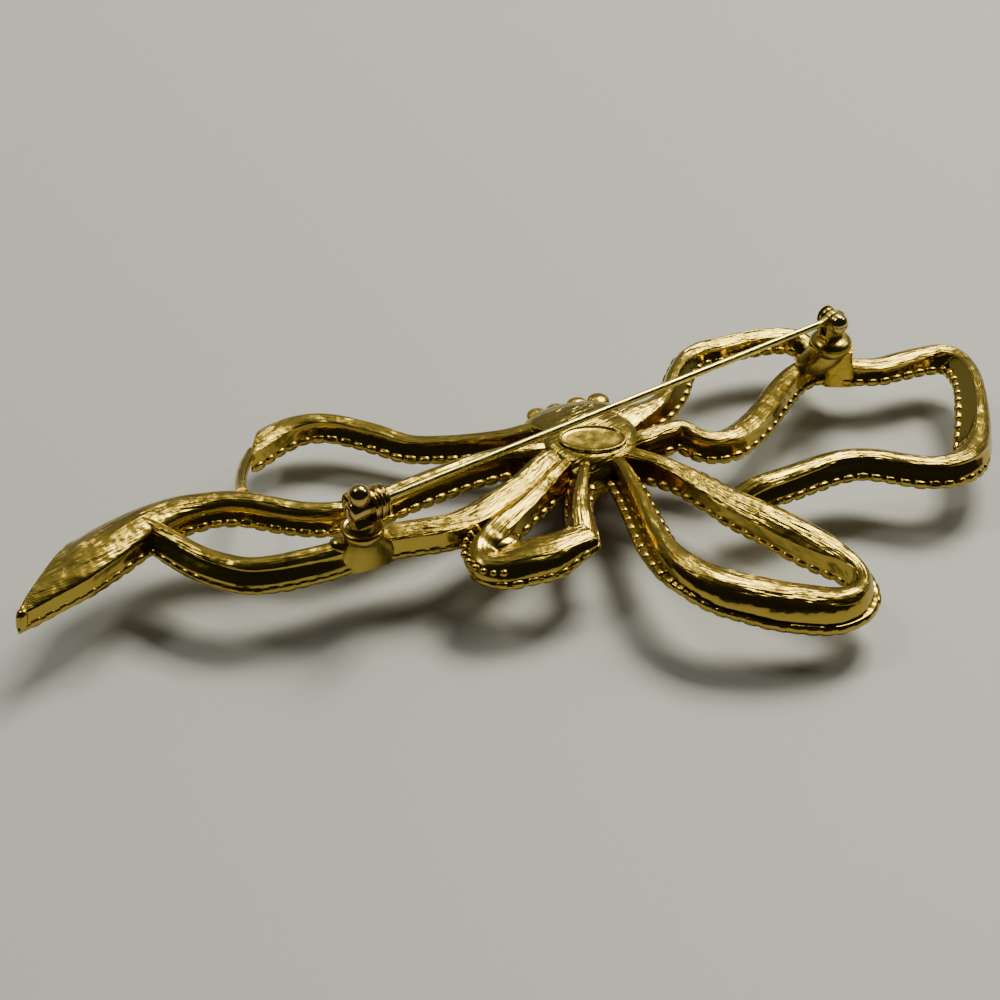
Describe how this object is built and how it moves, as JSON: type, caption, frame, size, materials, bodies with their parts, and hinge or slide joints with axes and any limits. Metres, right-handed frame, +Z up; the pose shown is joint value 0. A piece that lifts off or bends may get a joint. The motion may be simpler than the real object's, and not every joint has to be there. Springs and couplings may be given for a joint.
{
  "type": "bow brooch",
  "caption": "Cast metal bow brooch lying face down: ribbon loops and tails with beaded front edges, an oval plaque on the hub, a hinged pin stem and a turning safety catch.",
  "frame": {"origin": "centre of the bounding box at its lowest point, where the brooch rests on its front", "axes": "+X along the bow from the tails to the loops, +Z up out of the brooch's back"},
  "size_m": [0.104, 0.0544, 0.0163],
  "materials": {
    "cast_gold": "gold-plated casting, brushed lengthwise on the back, smooth on the sides",
    "bright_gold": "polished gold plate",
    "pin_wire": "polished drawn wire, gold-plated",
    "catch_gold": "polished gold plate"
  },
  "bodies": {
    "casting": {"bow_casting": "cast_gold", "hinge_rivet": "bright_gold"},
    "pin": {"pin_stem": "pin_wire"},
    "roller": {"catch_roller": "catch_gold"}
  },
  "joints": [
    {"name": "pin_hinge", "type": "hinge", "parent": "casting", "child": "pin", "pos_m": [0.0338, 0.0183, 0.01345], "axis": [-0.5411, 0.841, 0], "range_deg": [0, 100]},
    {"name": "roller_turn", "type": "hinge", "parent": "casting", "child": "roller", "pos_m": [-0.01761, -0.01478, 0.01345], "axis": [0.841, 0.5411, 0], "range_deg": [0, 90]}
  ]
}
